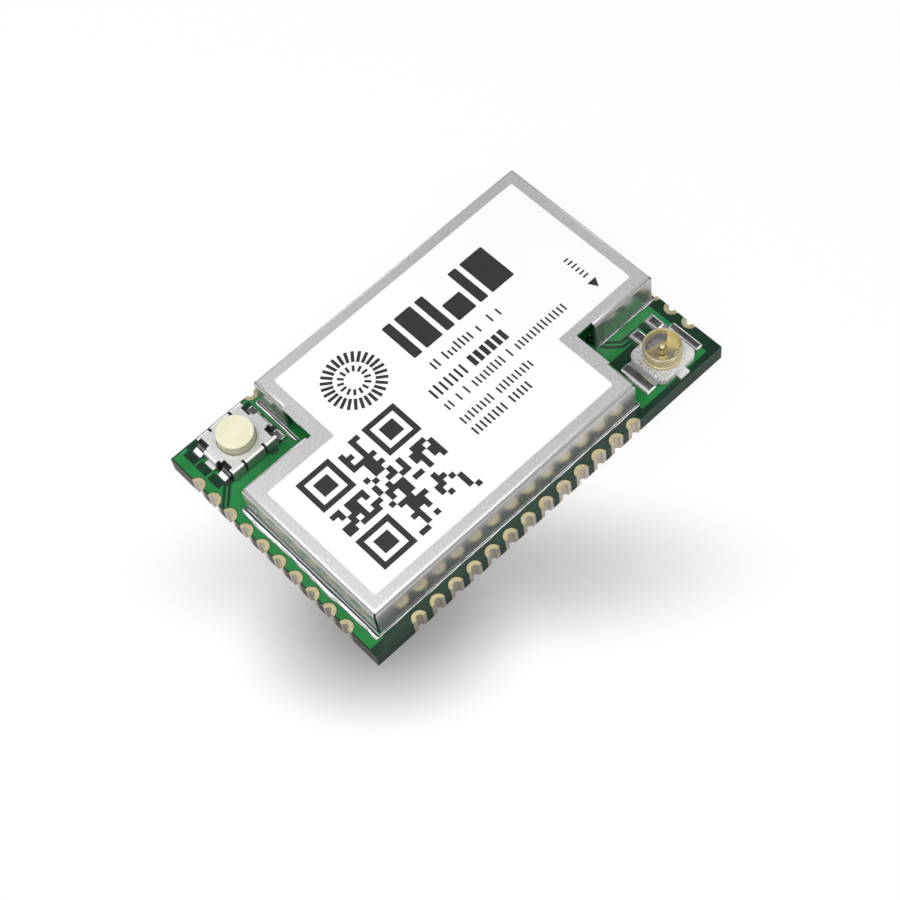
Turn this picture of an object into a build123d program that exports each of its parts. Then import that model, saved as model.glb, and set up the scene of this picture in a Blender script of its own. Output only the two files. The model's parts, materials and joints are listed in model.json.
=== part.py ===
from build123d import *
import os

# A small radio module: a castellated circuit board that carries a folded shield can with
# a label, a tact switch with a push button, and a miniature coaxial socket for an antenna.
# Sizes are in millimetres. X runs along the long edge, Y across the board and Z up.
# The origin is the middle of the board's underside.

# Circuit board
board_length = 23.0
board_width = 15.0
board_height = 1.0
mask_height = 0.03
mask_clearance = 0.03

# Castellated pads along the four edges
long_pad_pitch = 1.18
short_pad_pitch = 1.2
hole_radius = 0.18
plating = 0.035
ring_radius = 0.4
under_pad_length = 0.85
front_pad_count = 13
front_row_from_left = 2.73
back_pad_count = 13
back_row_from_left = 5.15
side_pad_count = 10
side_row_from_front = 2.14

# Shield can, one folded sheet with a corner left out at each end
sheet = 0.15
can_top = 2.95
bend_radius = 0.28
can_margin_left = 0.85
can_margin_right = 0.26
can_margin_front = 0.7
can_margin_back = 0.71
switch_corner_length = 4.28
switch_corner_width = 4.11
socket_corner_length = 4.98
socket_corner_width = 3.71
seam_width = 0.09
seam_below_top = 0.05
seam_foot_width = 0.26
seam_foot_height = 0.4
switch_side_wall = 2.21
switch_front_wall = 4.0
socket_back_wall = 3.95
socket_side_wall = 1.76

# Solder along the foot of the can's walls
bead_height = 0.22
bead_width = 0.18
left_bead_width = 0.33
bead_run_out = 0.9

# Label on the can
label_thickness = 0.05
label_inset = 0.77
label_switch_inset = 1.12
label_corner = 0.12

# Tact switch at the left end of the back edge
switch_from_left = 2.86
switch_from_back = 1.87
cover_length = 2.84
cover_width = 2.88
cover_top = 0.76
cover_sheet = 0.1
cover_bend = 0.14
cover_skirt_gap = 0.08
cover_slot_width = 0.14
cover_slot_spread = 0.64
cover_slot_reach = 0.29
cover_notch_width = 0.62
cover_notch_depth = 0.2
cover_end_tab = 0.9
cover_end_reach = 0.27
cover_end_shift = 0.1
cover_foot_width = 0.62
cover_foot_reach = 0.16
cover_foot_gap = 0.03
base_fit = 0.03
base_standoff = 0.04
cavity_radius = 1.17
cavity_floor = 0.12
button_radius = 0.965
button_top = 1.34
button_edge = 0.07
button_play = 0.05
flange_radius = 1.08
flange_height = 0.14
flange_clearance = 0.03
dome_radius = 0.95
dome_rise = 0.22
dome_sheet = 0.03
dome_clearance = 0.01
contact_sheet = 0.03
contact_ring_width = 0.2
contact_radius = 0.3
terminal_width = 0.6
terminal_sheet = 0.12
terminal_spread = 0.95
terminal_reach = 0.58
terminal_foot = 0.3
terminal_rise = 0.18

# Solder under the feet of the switch and the socket
foot_solder = 0.04
foot_solder_margin = 0.07

# Coaxial socket at the right end of the front edge
socket_from_right = 2.45
socket_from_front = 1.63
housing_length = 2.5
housing_width = 2.4
housing_height = 0.42
housing_corner = 0.45
housing_edge = 0.06
housing_tab_length = 0.6
housing_tab_reach = 0.32
housing_tab_height = 0.2
shell_top = 1.25
shell_radius = 0.98
shell_wall = 0.12
shell_groove = 0.05
shell_rim_height = 0.2
shell_bead_height = 0.16
shell_floor_top = 0.52
shell_floor_sheet = 0.1
shell_window_height = 0.42
window_lip = 0.03
shell_chord = 0.54
shell_chord_angle = 79
floor_slot_length = 0.42
floor_slot_width = 0.13
floor_slot_angle = 12
floor_slot_x = 0.45
floor_slot_y = -0.45
insulator_radius = 0.235
pin_radius = 0.18
pin_top = 1.06
tab_sheet = 0.15
side_tab_length = 1.85
left_tab_reach = 0.7
right_tab_reach = 0.52
signal_tab_width = 0.62
signal_tab_reach = 0.82
corner_tab_offset = 1.15
corner_tab_width = 0.6
corner_tab_reach = 0.88

# Parts under the can, all standing on the board, each this far from the next or the wall
part_gap = 0.8
mcu_size = 7.0
mcu_height = 0.85
radio_size = 4.0
radio_height = 0.9
flash_length = 3.0
flash_width = 2.0
flash_height = 0.6
rf_switch_size = 1.5
rf_switch_height = 0.55
crystal_length = 3.2
crystal_width = 1.5
crystal_height = 0.8
oscillator_length = 2.0
oscillator_width = 1.6
oscillator_height = 0.7
coil_length = 2.5
coil_width = 2.0
coil_height = 1.2
coil_flange = 0.25
coil_waist = 0.25
lid_inset = 0.15
lid_height = 0.1
chip_edge = 0.05
small_length = 1.0
small_width = 0.5
small_height = 0.5
small_cap = 0.22
small_cap_lip = 0.03
small_pitch = 1.3
capacitor_count = 6
resistor_count = 4
resistor_height = 0.35
filter_count = 3
filter_pitch = 0.95

# Places worked out from the sizes above
half_length = board_length / 2
half_width = board_width / 2
laminate_top = board_height - mask_height
barrel_radius = hole_radius + plating
can_left = -half_length + can_margin_left
can_right = half_length - can_margin_right
can_front = -half_width + can_margin_front
can_back = half_width - can_margin_back
switch_notch_x = can_left + switch_corner_length
switch_notch_y = can_back - switch_corner_width
socket_notch_x = can_right - socket_corner_length
socket_notch_y = can_front + socket_corner_width
switch_x = -half_length + switch_from_left
switch_y = half_width - switch_from_back
base_half_length = cover_length / 2 - cover_sheet - base_fit
base_half_width = cover_width / 2 - cover_sheet - base_fit
socket_x = half_length - socket_from_right
socket_y = -half_width + socket_from_front

# Larger than the whole part, for cutting tools that pass right through it
through = 2 * max(board_length, board_width)


def slab(x0, x1, y0, y1, z0, z1):
    """A box between two opposite corners."""
    place = Pos((x0 + x1) / 2, (y0 + y1) / 2, (z0 + z1) / 2)
    return place * Box(x1 - x0, y1 - y0, z1 - z0)


def disc(x, y, radius, z0, z1):
    """An upright cylinder between two heights."""
    return Pos(x, y, (z0 + z1) / 2) * Cylinder(radius, z1 - z0)


def prism(points, z0, z1):
    """An upright prism over a closed outline."""
    face = make_face(Polyline(*points, close=True))
    return extrude(Pos(0, 0, z0) * face, z1 - z0, dir=(0, 0, 1))


def edge_places(count, pitch, first):
    """Evenly spaced places along one edge, from the first pad on."""
    return [first + i * pitch for i in range(count)]


def pad_rows():
    """Each row of pads as a name and the locations of its holes, with +Y pointing inward."""
    front = edge_places(front_pad_count, long_pad_pitch, front_row_from_left - half_length)
    back = edge_places(back_pad_count, long_pad_pitch, back_row_from_left - half_length)
    side = edge_places(side_pad_count, short_pad_pitch, side_row_from_front - half_width)
    return {
        "pads_front_row": [Pos(x, -half_width) for x in front],
        "pads_left_row": [Pos(-half_length, y) * Rot(0, 0, -90) for y in side],
        "pads_back_row": [Pos(x, half_width) * Rot(0, 0, 180) for x in back],
        "pads_right_row": [Pos(half_length, y) * Rot(0, 0, 90) for y in side],
    }


def pad_blank(grow, z0, z1, reach):
    """The half-round land of one pad, drawn out to a rounded end where it reaches inward."""
    radius = ring_radius + grow
    land = disc(0, 0, radius, z0, z1)
    run = reach - ring_radius
    if run > 0:
        land = land + slab(-radius, radius, 0, run, z0, z1) + disc(0, run, radius, z0, z1)
    return land


def castellation():
    """One plated half hole at the board's edge, with its upper and lower lands."""
    upper = pad_blank(0, laminate_top, board_height, 0)
    lower = pad_blank(0, 0, mask_height, under_pad_length)
    barrel = disc(0, 0, barrel_radius, 0, board_height)
    body = upper + lower + barrel - disc(0, 0, hole_radius, 0, board_height)
    return body & slab(-ring_radius, ring_radius, 0, under_pad_length, 0, board_height)


def board_parts(rows):
    """The laminate and the solder mask on its two faces, cut away round every pad."""
    places = [place for row in rows.values() for place in row]
    laminate = slab(-half_length, half_length, -half_width, half_width, mask_height, laminate_top)
    holes = [place * disc(0, 0, barrel_radius, 0, board_height) for place in places]
    upper = slab(-half_length, half_length, -half_width, half_width, laminate_top, board_height)
    upper_lands = [
        place * pad_blank(mask_clearance, laminate_top, board_height, 0) for place in places
    ]
    lower = slab(-half_length, half_length, -half_width, half_width, 0, mask_height)
    lower_lands = [
        place * pad_blank(mask_clearance, 0, mask_height, under_pad_length) for place in places
    ]
    return laminate - holes, upper - upper_lands, lower - lower_lands


def can_outline(inset, left=None, by_switch=None):
    """The can's stepped outline, pulled in evenly, or by its own amount along the left side
    or along the edge that faces the switch."""
    x0 = can_left + (inset if left is None else left)
    x1 = can_right - inset
    y0 = can_front + inset
    y1 = can_back - inset
    sx = switch_notch_x + inset
    sy = switch_notch_y - (inset if by_switch is None else by_switch)
    cx = socket_notch_x - inset
    cy = socket_notch_y + inset
    return [(x0, y0), (cx, y0), (cx, cy), (x1, cy), (x1, y1), (sx, y1), (sx, sy), (x0, sy)]


def rounded_block(inset, top, radius):
    """A block over the can's outline with its upper edges rounded."""
    block = prism(can_outline(inset), board_height, top)
    return fillet(block.edges().group_by(Axis.Z)[-1], radius)


def relief_zones():
    """The stretches beside the two inner corners where the sheet isn't folded down, and
    whether its top reaches out to the line of the walls there or is cut back."""
    depth = bend_radius
    switch_in_y = switch_notch_y - depth
    socket_in_y = socket_notch_y + depth
    return [
        (switch_notch_x, switch_notch_x + depth, switch_in_y, can_back - switch_side_wall, True),
        (can_left + switch_front_wall, switch_notch_x, switch_in_y, switch_notch_y, False),
        (socket_notch_x, can_right - socket_back_wall, socket_notch_y, socket_in_y, False),
        (socket_notch_x - depth, socket_notch_x, can_front + socket_side_wall, socket_in_y, True),
    ]


def corner_seam(x, y, out_x, out_y):
    """A cutter for the slit between two folded walls, flared at the foot."""
    plane = Plane(origin=(x, y, board_height), x_dir=(-out_y, out_x, 0), z_dir=(out_x, out_y, 0))
    seam_top = can_top - seam_below_top - board_height
    half, foot = seam_width / 2, seam_foot_width / 2
    outline = [
        (-foot, 0),
        (foot, 0),
        (half, seam_foot_height),
        (half, seam_top),
        (-half, seam_top),
        (-half, seam_foot_height),
    ]
    return extrude(plane * make_face(Polyline(*outline, close=True)), 2 * sheet, both=True)


def shield_can():
    """One sheet folded down on all sides, slit at its corners and open at the inner ones."""
    can = rounded_block(0, can_top, bend_radius)
    can -= rounded_block(sheet, can_top - sheet, bend_radius - sheet)
    lips = prism(can_outline(0), can_top - sheet, can_top)
    for x0, x1, y0, y1, reaches_out in relief_zones():
        zone = slab(x0, x1, y0, y1, board_height, can_top)
        can = can - zone
        if reaches_out:
            can = can + (lips & zone)
    corners = [
        (can_left, can_front, -1, -1),
        (socket_notch_x, can_front, 1, -1),
        (can_right, socket_notch_y, 1, -1),
        (can_right, can_back, 1, 1),
        (switch_notch_x, can_back, -1, 1),
        (can_left, switch_notch_y, -1, 1),
    ]
    return can - [corner_seam(*corner) for corner in corners]


def shield_solder():
    """Sloping beads of solder on the board, along the foot of every folded wall."""
    foot = Pos(0, 0, board_height) * make_face(
        Polyline(*can_outline(-bead_width, -left_bead_width), close=True)
    )
    crest = Pos(0, 0, board_height + bead_height) * make_face(
        Polyline(*can_outline(-mask_height), close=True)
    )
    bead = loft([foot, crest], ruled=True)
    bead -= prism(can_outline(0), board_height, board_height + bead_height)
    reach = bead_width
    switch_bead_end = can_back - switch_side_wall - bead_run_out
    gaps = [
        slab(switch_notch_x - reach, switch_notch_x, switch_notch_y, switch_bead_end,
             board_height, can_top),
        slab(can_left + switch_front_wall, switch_notch_x, switch_notch_y, switch_notch_y + reach,
             board_height, can_top),
        slab(socket_notch_x, can_right - socket_back_wall, socket_notch_y - reach, socket_notch_y,
             board_height, can_top),
        slab(socket_notch_x, socket_notch_x + reach, can_front + socket_side_wall, socket_notch_y,
             board_height, can_top),
    ]
    return bead - gaps


def label():
    """A thin sticker that follows the can's outline, with a wider margin by the switch."""
    outline = can_outline(label_inset, by_switch=label_switch_inset)
    sheet_shape = prism(outline, can_top, can_top + label_thickness)
    return fillet(sheet_shape.edges().filter_by(Axis.Z), label_corner)


def at_switch(shape):
    """Moves a shape from the switch's own middle to its place on the board."""
    return Pos(switch_x, switch_y, board_height) * shape


def both_ends(shape):
    """A shape and its copy turned half round, at the other end of the switch."""
    return [shape, Rot(0, 0, 180) * shape]


def switch_base():
    """The moulded base, a block with a round well for the snap dome and the button's flange."""
    top = cover_top - cover_sheet
    block = slab(-base_half_length, base_half_length, -base_half_width, base_half_width,
                 base_standoff, top)
    return at_switch(block - disc(0, 0, cavity_radius, cavity_floor, top))


def cover_end():
    """The cover's end tab at the left, bent down to a foot that stands on the board."""
    start = -cover_length / 2
    edge = start - cover_end_reach
    half = cover_end_tab / 2
    half_foot = cover_foot_width / 2
    tab = slab(edge, start + cover_sheet, -half, half, cover_skirt_gap, cover_top)
    tab = fillet(tab.edges().filter_by(Axis.Y).group_by(Axis.Z)[-1].group_by(Axis.X)[0], cover_bend)
    skirt = slab(edge, edge + cover_sheet, -half_foot, half_foot, cover_foot_gap, cover_skirt_gap)
    foot = slab(edge - cover_foot_reach, edge + cover_sheet, -half_foot, half_foot,
                cover_foot_gap, cover_foot_gap + cover_sheet)
    return Pos(0, cover_end_shift) * (tab + skirt + foot)


def cover_end_hollow():
    """The space under the end tab, between it and the base."""
    start = -cover_length / 2
    half = cover_end_tab / 2
    return slab(start - cover_end_reach + cover_sheet, start + cover_sheet,
                cover_end_shift - half, cover_end_shift + half,
                cover_skirt_gap, cover_top - cover_sheet)


def cover_end_cutters():
    """At the cover's left end, the openings and top notches either side of the end tab."""
    start = -cover_length / 2
    under = cover_top - cover_sheet
    side = cover_width / 2 - cover_bend
    cutters = []
    for y0, y1 in ((-side, cover_end_shift - cover_end_tab / 2),
                   (cover_end_shift + cover_end_tab / 2, side)):
        middle = (y0 + y1) / 2
        cutters.append(slab(start, start + 2 * cover_sheet, y0, y1, cover_skirt_gap, under))
        cutters.append(slab(start, start + cover_notch_depth, middle - cover_notch_width / 2,
                            middle + cover_notch_width / 2, under, cover_top))
    return cutters


def switch_cover():
    """The formed metal cover, with slotted skirts, end tabs and a hole for the button."""
    half_x, half_y = cover_length / 2, cover_width / 2
    block = slab(-half_x, half_x, -half_y, half_y, cover_skirt_gap, cover_top)
    block = fillet(block.edges().filter_by(Axis.X).group_by(Axis.Z)[-1], cover_bend)
    block = fillet(block.edges().filter_by(Axis.Y).group_by(Axis.Z)[-1], cover_sheet / 2)
    under = cover_top - cover_sheet
    inner = slab(cover_sheet - half_x, half_x - cover_sheet, cover_sheet - half_y,
                 half_y - cover_sheet, cover_skirt_gap, under)
    cover = block - inner
    for tab in both_ends(cover_end()):
        cover = cover + tab
    cover -= both_ends(cover_end_hollow())
    cutters = [disc(0, 0, button_radius + button_play, under, cover_top)]
    for cutter in cover_end_cutters():
        cutters += both_ends(cutter)
    for side in (-1, 1):
        for x in (-cover_slot_spread, cover_slot_spread):
            edges = sorted((side * (half_y - cover_slot_reach), side * half_y))
            cutters.append(slab(x - cover_slot_width / 2, x + cover_slot_width / 2, *edges,
                                cover_skirt_gap, cover_top))
    return at_switch(cover - cutters)


def switch_button():
    """The push button, a stem through the cover on a wider flange that the cover holds in."""
    flange_top = cover_top - cover_sheet - flange_clearance
    flange = disc(0, 0, flange_radius, flange_top - flange_height, flange_top)
    stem = disc(0, 0, button_radius, flange_top, button_top)
    stem = fillet(stem.edges().group_by(Axis.Z)[-1], button_edge)
    dome_top = cavity_floor + contact_sheet + dome_rise
    nub = disc(0, 0, contact_radius, dome_top + dome_clearance, flange_top - flange_height)
    return at_switch(flange + stem + nub)


def switch_dome():
    """The snap dome, a thin spherical cap with its rim on the contact ring."""
    foot = cavity_floor + contact_sheet
    sphere_radius = (dome_radius**2 + dome_rise**2) / (2 * dome_rise)
    centre = foot + dome_rise - sphere_radius
    cap = Pos(0, 0, centre) * (Sphere(sphere_radius) - Sphere(sphere_radius - dome_sheet))
    zone = disc(0, 0, dome_radius, foot, foot + dome_rise)
    return at_switch(cap & zone)


def switch_contacts():
    """The contact ring under the dome's rim and the middle contact that it snaps onto."""
    foot, top = cavity_floor, cavity_floor + contact_sheet
    ring = disc(0, 0, dome_radius + dome_clearance, foot, top)
    ring -= disc(0, 0, dome_radius - contact_ring_width, foot, top)
    return [at_switch(ring), at_switch(disc(0, 0, contact_radius, foot, top))]


def switch_terminals():
    """Four flat legs that step down from the base's ends to the board."""
    start = -base_half_length
    tip = start - terminal_reach
    heel = tip + terminal_foot
    low, high = foot_solder, foot_solder + terminal_rise
    outline = [
        (start, high),
        (start, high + terminal_sheet),
        (start - terminal_sheet, high + terminal_sheet),
        (heel, low + terminal_sheet),
        (tip, low + terminal_sheet),
        (tip, low),
        (heel, low),
        (start - terminal_sheet, high),
    ]
    face = Plane.XZ * make_face(Polyline(*outline, close=True))
    leg = extrude(face, terminal_width / 2, both=True)
    legs = []
    for y in (-terminal_spread, terminal_spread):
        legs += [at_switch(end) for end in both_ends(Pos(0, y + cover_end_shift) * leg)]
    return legs


def switch_solder():
    """A low land of solder under each of the switch's feet."""
    tip = -base_half_length - terminal_reach
    grow = foot_solder_margin
    half = terminal_width / 2 + grow
    lands = []
    for spread in (-terminal_spread, terminal_spread):
        y = spread + cover_end_shift
        land = slab(tip - grow, tip + terminal_foot, y - half, y + half, 0, foot_solder)
        lands += [at_switch(end) for end in both_ends(land)]
    return lands


def at_socket(shape):
    """Moves a shape from the socket's own middle to its place on the board."""
    return Pos(socket_x, socket_y, board_height) * shape


def shell_body():
    """The stamped outer contact: a grooved barrel with a rim, a floor and tabs to the board."""
    groove = shell_radius - shell_groove
    inner = shell_radius - shell_wall
    floor_low = shell_floor_top - shell_floor_sheet
    barrel = disc(0, 0, groove, floor_low, shell_top)
    rim = disc(0, 0, shell_radius, shell_top - shell_rim_height, shell_top)
    rim = fillet(rim.edges().group_by(Axis.Z)[-1], shell_groove)
    rim = fillet(rim.edges().group_by(Axis.Z)[0], shell_groove * 0.8)
    bead = disc(0, 0, shell_radius, floor_low, floor_low + shell_bead_height)
    bead = fillet(bead.edges().group_by(Axis.Z)[-1], shell_groove)
    barrel = barrel + rim + bead - disc(0, 0, inner, shell_floor_top, shell_top)
    mouth = barrel.edges().filter_by(GeomType.CIRCLE).filter_by(
        lambda edge: abs(edge.radius - inner) < plating and edge.center().Z > shell_top - plating
    )
    barrel = fillet(mouth, shell_groove)
    barrel -= disc(0, 0, insulator_radius, floor_low, shell_floor_top)
    slot = Pos(floor_slot_x, floor_slot_y) * Rot(0, 0, floor_slot_angle) * slab(
        -floor_slot_length / 2, floor_slot_length / 2,
        -floor_slot_width / 2, floor_slot_width / 2, floor_low, shell_floor_top,
    )
    return barrel - slot - window_zone()


def window_zone():
    """The opening beyond a chord of the barrel's floor and in the wall above it, which the
    moulding fills."""
    foot = shell_floor_top - shell_floor_sheet
    top = shell_floor_top + shell_window_height
    reach = 2 * shell_radius
    zone = disc(0, 0, shell_radius, foot, top)
    zone -= disc(0, 0, shell_radius - shell_wall - window_lip, shell_floor_top, top)
    beyond = Rot(0, 0, shell_chord_angle) * slab(shell_chord, reach, -reach, reach, foot, top)
    return zone & beyond


def shell_tabs():
    """Flat arms from under the barrel to the board: one each side and one at the corner."""
    low, high = foot_solder, foot_solder + tab_sheet
    barrel_low = shell_floor_top - shell_floor_sheet
    root = shell_radius - 2 * shell_wall
    half = side_tab_length / 2
    left = slab(-housing_length / 2 - left_tab_reach, -root, -half, half, low, high)
    right = slab(root, housing_length / 2 + right_tab_reach, -half, half, low, high)
    x0 = corner_tab_offset - corner_tab_width / 2
    corner = slab(x0, x0 + corner_tab_width, 0, housing_width / 2 + corner_tab_reach, low, high)
    arms = [left, right, corner]
    for side in (-1, 1):
        edges = sorted((side * root, side * (shell_radius - shell_groove)))
        arms.append(slab(*edges, -shell_wall, shell_wall, low, barrel_low + plating))
    return arms


def coax_shell():
    """The outer contact and its tabs as one stamping."""
    shell = shell_body()
    for arm in shell_tabs():
        shell = shell + arm
    return at_socket(shell)


def coax_pin():
    """The middle pin with a domed tip, and the strip that leads out under the barrel."""
    low, high = foot_solder, foot_solder + tab_sheet
    pin = disc(0, 0, pin_radius, low, pin_top)
    pin = fillet(pin.edges().group_by(Axis.Z)[-1], pin_radius * 0.8)
    half = signal_tab_width / 2
    strip = slab(-half, half, 0, housing_width / 2 + signal_tab_reach, low, high)
    return at_socket(pin + strip)


def coax_housing(shell, pin):
    """The moulded base round the contacts, with its raised piece in the barrel's window."""
    half_x, half_y = housing_length / 2, housing_width / 2
    block = slab(-half_x, half_x, -half_y, half_y, foot_solder, housing_height)
    block = fillet(block.edges().filter_by(Axis.Z), housing_corner)
    block = fillet(block.edges().group_by(Axis.Z)[-1], housing_edge)
    half_tab = housing_tab_length / 2
    tab = slab(-half_tab, half_tab, -half_y - housing_tab_reach, housing_corner - half_y,
               foot_solder, housing_tab_height)
    well = disc(0, 0, insulator_radius, shell_floor_top - shell_floor_sheet, shell_floor_top)
    moulding = at_socket(block + tab + window_zone() - well)
    return moulding - shell - pin


def coax_solder():
    """A low land of solder under each of the socket's tabs."""
    grow = foot_solder_margin
    half_x, half_y = housing_length / 2, housing_width / 2
    half_side = side_tab_length / 2 + grow
    half_signal = signal_tab_width / 2 + grow
    half_corner = corner_tab_width / 2 + grow
    lands = [
        (-half_x - left_tab_reach - grow, -half_x, -half_side, half_side),
        (half_x, half_x + right_tab_reach + grow / 2, -half_side, half_side),
        (-half_signal, half_signal, half_y, half_y + signal_tab_reach + grow),
        (corner_tab_offset - half_corner, corner_tab_offset + half_corner, half_y,
         half_y + corner_tab_reach + grow / 2),
    ]
    return [at_socket(slab(*land, 0, foot_solder)) for land in lands]


def on_board(place, shape):
    """Stands a shape on the board at a place in plan."""
    return Pos(place[0], place[1], board_height) * shape


def chip(length, width, height):
    """A flat moulded chip with eased upper edges."""
    body = slab(-length / 2, length / 2, -width / 2, width / 2, 0, height)
    return chamfer(body.edges().group_by(Axis.Z)[-1], chip_edge)


def lidded_can(length, width, height):
    """A ceramic package with a smaller metal lid."""
    body = slab(-length / 2, length / 2, -width / 2, width / 2, 0, height - lid_height)
    half_x, half_y = length / 2 - lid_inset, width / 2 - lid_inset
    return body + slab(-half_x, half_x, -half_y, half_y, height - lid_height, height)


def power_inductor():
    """A wound drum core: two flanges with a narrower waist between them."""
    half_x, half_y = coil_length / 2, coil_width / 2
    low, high = coil_flange, coil_height - coil_flange
    body = slab(-half_x, half_x, -half_y, half_y, 0, coil_height)
    waist = slab(-half_x, half_x, -half_y, half_y, low, high)
    core = slab(coil_waist - half_x, half_x - coil_waist, coil_waist - half_y,
                half_y - coil_waist, low, high)
    return body - waist + core


def small_part(height):
    """A small two-ended part, a body with a slightly larger cap at each end."""
    half_x, half_y = small_length / 2, small_width / 2
    lip = small_cap_lip
    body = slab(-half_x + lip, half_x - lip, lip - half_y, half_y - lip, 0, height - lip)
    for side in (-1, 1):
        ends = sorted((side * half_x, side * (half_x - small_cap)))
        body = body + slab(*ends, -half_y, half_y, 0, height)
    return body


def small_row(count, start, step, height, turn=0):
    """A row of small two-ended parts, each a step on from the last."""
    part = Rot(0, 0, turn) * small_part(height)
    places = [(start[0] + i * step[0], start[1] + i * step[1]) for i in range(count)]
    return [on_board(place, part) for place in places]


def inner_parts():
    """The chips and small parts that stand on the board under the can."""
    step = sheet + part_gap
    mcu_place = (can_left + step + mcu_size / 2, (can_front + switch_notch_y) / 2)
    flash_place = (switch_notch_x + step + flash_length / 2, can_back - step - flash_width / 2)
    flash_end = flash_place[0] + flash_length / 2
    coil_place = (flash_end + part_gap + coil_length / 2, can_back - step - coil_width / 2)
    coil_end = coil_place[0] + coil_length / 2
    radio_place = (coil_end + part_gap + radio_size / 2, can_back - step - radio_size / 2)
    radio_end = radio_place[0] + radio_size / 2
    oscillator_place = (radio_end + part_gap + oscillator_length / 2,
                        can_back - step - oscillator_width / 2)
    rf_switch_place = (can_right - step - rf_switch_size / 2,
                       socket_notch_y + step + rf_switch_size / 2)
    crystal_place = (socket_notch_x - step - crystal_length / 2,
                     can_front + step + crystal_width / 2)
    capacitor_start = (mcu_place[0] + mcu_size / 2 + part_gap + small_length / 2,
                       mcu_place[1] - (capacitor_count - 1) * small_pitch / 2)
    resistor_start = (radio_place[0] - (resistor_count - 1) * small_pitch / 2,
                      radio_place[1] - radio_size / 2 - part_gap - small_length / 2)
    filter_start = (radio_end + part_gap + small_length / 2,
                    oscillator_place[1] - oscillator_width / 2 - part_gap - small_width / 2)
    return {
        "mcu_chip": [on_board(mcu_place, chip(mcu_size, mcu_size, mcu_height))],
        "radio_chip": [on_board(radio_place, chip(radio_size, radio_size, radio_height))],
        "flash_chip": [on_board(flash_place, chip(flash_length, flash_width, flash_height))],
        "rf_switch_chip": [
            on_board(rf_switch_place, chip(rf_switch_size, rf_switch_size, rf_switch_height))
        ],
        "mcu_crystal": [
            on_board(crystal_place, lidded_can(crystal_length, crystal_width, crystal_height))
        ],
        "radio_oscillator": [
            on_board(oscillator_place,
                     lidded_can(oscillator_length, oscillator_width, oscillator_height))
        ],
        "power_inductor": [on_board(coil_place, power_inductor())],
        "capacitors": small_row(capacitor_count, capacitor_start, (0, small_pitch), small_height),
        "resistors": small_row(resistor_count, resistor_start, (small_pitch, 0),
                               resistor_height, 90),
        "rf_inductors": small_row(filter_count, filter_start, (0, -filter_pitch), small_height),
    }


def all_parts():
    """Every node of the module as a name and its list of solids."""
    rows = pad_rows()
    laminate, upper_mask, lower_mask = board_parts(rows)
    shell, pin = coax_shell(), coax_pin()
    nodes = {
        "pcb_laminate": [laminate],
        "solder_mask_top": [upper_mask],
        "solder_mask_bottom": [lower_mask],
        "shield_can": [shield_can()],
        "shield_solder": [shield_solder()],
        "label": [label()],
        "switch_base": [switch_base()],
        "switch_cover": [switch_cover()],
        "switch_button": [switch_button()],
        "switch_dome": [switch_dome()],
        "switch_contacts": switch_contacts(),
        "switch_terminals": switch_terminals(),
        "switch_solder": switch_solder(),
        "coax_shell": [shell],
        "coax_pin": [pin],
        "coax_housing": [coax_housing(shell, pin)],
        "coax_solder": coax_solder(),
    }
    pad = castellation()
    for name, places in rows.items():
        nodes[name] = [place * pad for place in places]
    nodes.update(inner_parts())
    return nodes


def main():
    os.makedirs("parts", exist_ok=True)
    for name, shapes in all_parts().items():
        solids = [solid for shape in shapes for solid in shape.solids()]
        export_step(Compound(children=solids), f"parts/{name}.step")


main()
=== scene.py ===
import json
import math
import random

import bmesh
import bpy
from mathutils import Matrix, Vector

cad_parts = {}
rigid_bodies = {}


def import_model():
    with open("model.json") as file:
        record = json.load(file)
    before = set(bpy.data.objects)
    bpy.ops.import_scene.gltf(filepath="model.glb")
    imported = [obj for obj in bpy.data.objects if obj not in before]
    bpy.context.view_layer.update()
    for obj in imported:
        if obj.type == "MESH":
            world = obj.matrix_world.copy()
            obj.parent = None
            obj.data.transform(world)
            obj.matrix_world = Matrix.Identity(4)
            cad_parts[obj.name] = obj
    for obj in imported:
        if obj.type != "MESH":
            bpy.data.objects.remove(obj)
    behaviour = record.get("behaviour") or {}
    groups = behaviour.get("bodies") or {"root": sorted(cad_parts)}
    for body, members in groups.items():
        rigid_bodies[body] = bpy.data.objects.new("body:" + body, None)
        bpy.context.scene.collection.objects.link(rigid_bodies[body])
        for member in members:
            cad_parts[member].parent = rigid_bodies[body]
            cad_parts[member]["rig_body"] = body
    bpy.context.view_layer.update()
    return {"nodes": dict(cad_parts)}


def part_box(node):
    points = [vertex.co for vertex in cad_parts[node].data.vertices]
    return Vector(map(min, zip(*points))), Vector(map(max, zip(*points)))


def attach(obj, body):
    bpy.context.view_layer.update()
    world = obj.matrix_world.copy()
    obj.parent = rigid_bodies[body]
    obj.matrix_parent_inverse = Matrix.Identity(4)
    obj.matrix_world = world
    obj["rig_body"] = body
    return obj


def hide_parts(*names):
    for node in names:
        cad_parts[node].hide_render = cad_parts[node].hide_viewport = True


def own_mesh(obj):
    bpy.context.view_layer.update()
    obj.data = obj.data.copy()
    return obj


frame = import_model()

# The looks of a small radio module: a castellated green circuit board with a folded shield
# can, a white label, a tact switch and a miniature coaxial socket.
# Numbers are in millimetres in the model's own frame: X along the long edge, Y across the
# board, Z up, and the origin under the middle of the board.

MM = 0.001

# Places shared by the pieces below
BOARD = (-11.5, 11.5, -7.5, 7.5)
MASK_TOP = 1.0
LABEL_TOP = 3.0
PRINT_RISE, PRINT_DEPTH = 0.004, 0.006
RING = 0.4  # the reach of the gold round a half hole
CAN_LEFT, CAN_RIGHT, CAN_FRONT, CAN_BACK = -10.65, 11.24, -6.8, 6.79
SWITCH_NOTCH = (-6.37, 2.68)
SOCKET_NOTCH = (6.26, -3.09)
SWITCH = (-8.64, 5.63)
SOCKET = (9.05, -5.87)

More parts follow.
